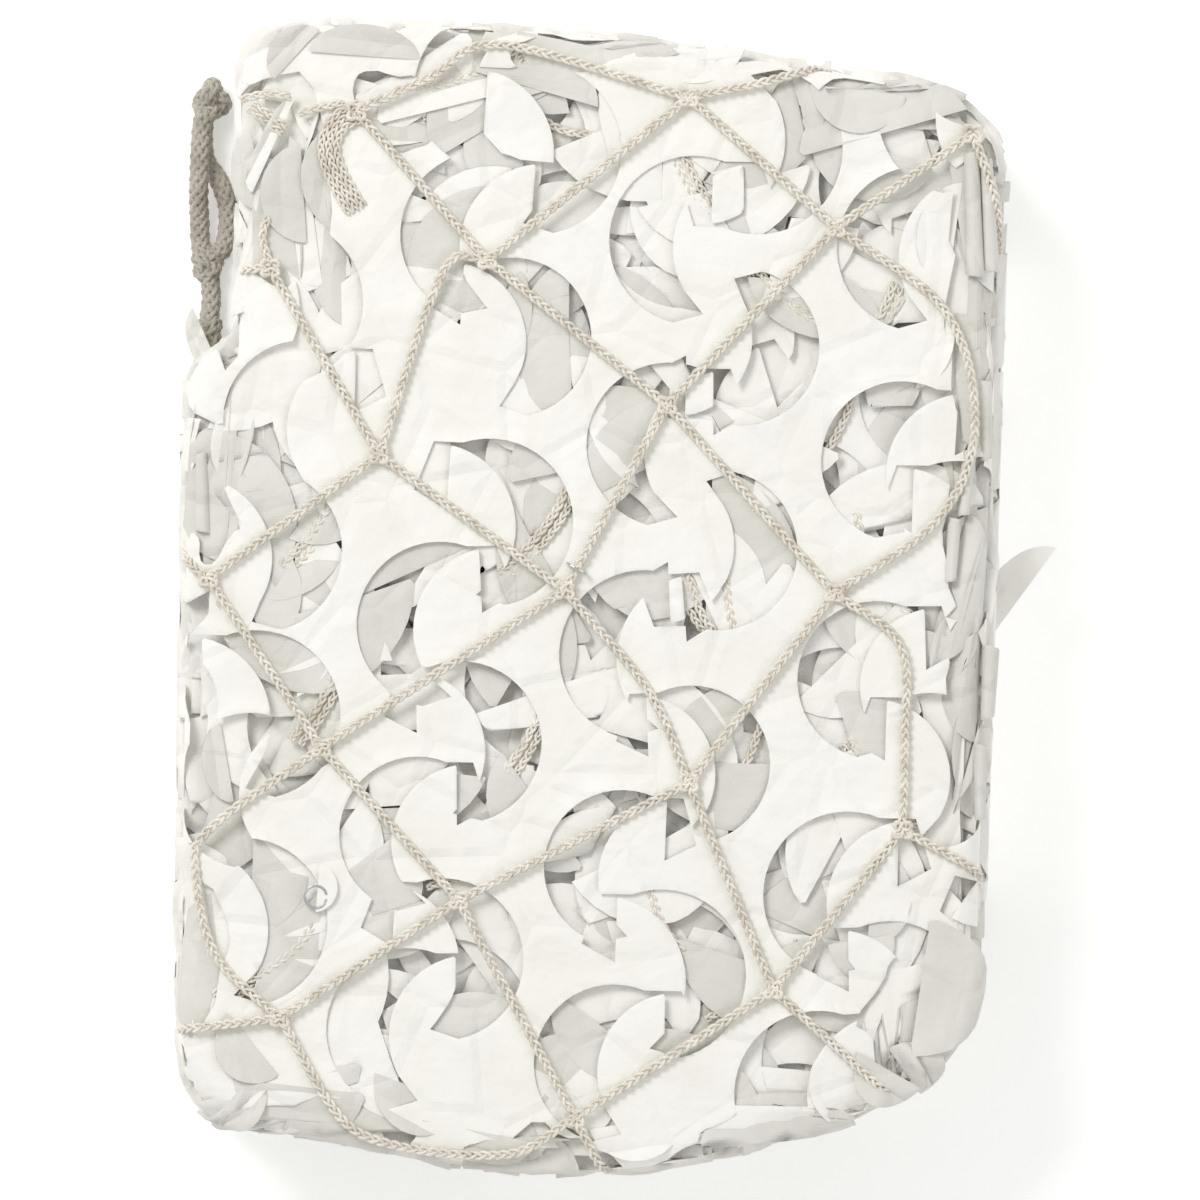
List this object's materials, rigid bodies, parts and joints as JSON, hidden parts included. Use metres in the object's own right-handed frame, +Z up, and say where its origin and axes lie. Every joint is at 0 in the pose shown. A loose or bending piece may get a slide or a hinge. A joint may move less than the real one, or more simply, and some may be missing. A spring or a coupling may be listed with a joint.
{
  "type": "folded camouflage net",
  "caption": "White leaf-cut camouflage netting, folded into a flat bundle that opens like a book, with its mesh, ring clips and knotted border rope.",
  "frame": {"origin": "middle of the flat underside that the closed bundle lies on", "axes": "+Z up through the folded passes, +Y along the bundle's long side towards the stopper knot on the rope, +X across to the side where the last fold turns"},
  "size_m": [0.3067, 0.4186, 0.0921],
  "materials": {
    "coated_cloth": "thin matt white coated woven sheet, die-cut",
    "knitted_cord": "cream knitted chain-stitch cord",
    "braided_rope": "taupe solid-braid rope, matt",
    "steel_wire": "bright galvanised wire"
  },
  "bodies": {
    "lower_half": {"lower_pass_1": "coated_cloth", "lower_pass_2": "coated_cloth", "lower_pass_3": "coated_cloth", "lower_pass_4": "coated_cloth", "lower_pass_5": "coated_cloth", "lower_turn_1_right": "coated_cloth", "lower_turn_2_left": "coated_cloth", "lower_turn_3_right": "coated_cloth", "lower_turn_4_left": "coated_cloth", "last_fold_turn": "coated_cloth", "mesh_net_lower_inside": "knitted_cord", "border_rope_side": "braided_rope", "border_rope_joint": "braided_rope", "border_rope_end": "braided_rope", "border_rope_second_end": "braided_rope", "rope_edge_knot": "braided_rope", "rope_joining_knot": "braided_rope", "rope_end_knot": "braided_rope"},
    "upper_half": {"upper_pass_1": "coated_cloth", "upper_pass_2": "coated_cloth", "upper_pass_3": "coated_cloth", "upper_pass_4": "coated_cloth", "upper_turn_1_left": "coated_cloth", "upper_turn_2_right": "coated_cloth", "top_leaf_sheet": "coated_cloth", "mesh_net_upper_inside": "knitted_cord", "mesh_net_top": "knitted_cord", "ring_clip_knot": "steel_wire", "ring_clip_leaf": "steel_wire"}
  },
  "joints": [
    {"name": "last_fold", "type": "hinge", "parent": "lower_half", "child": "upper_half", "pos_m": [0.1491, 0.00536, 0.04475], "axis": [0.0313, 0.9995, 0], "range_deg": [0, 180], "deforming": ["last_fold_turn"]}
  ]
}
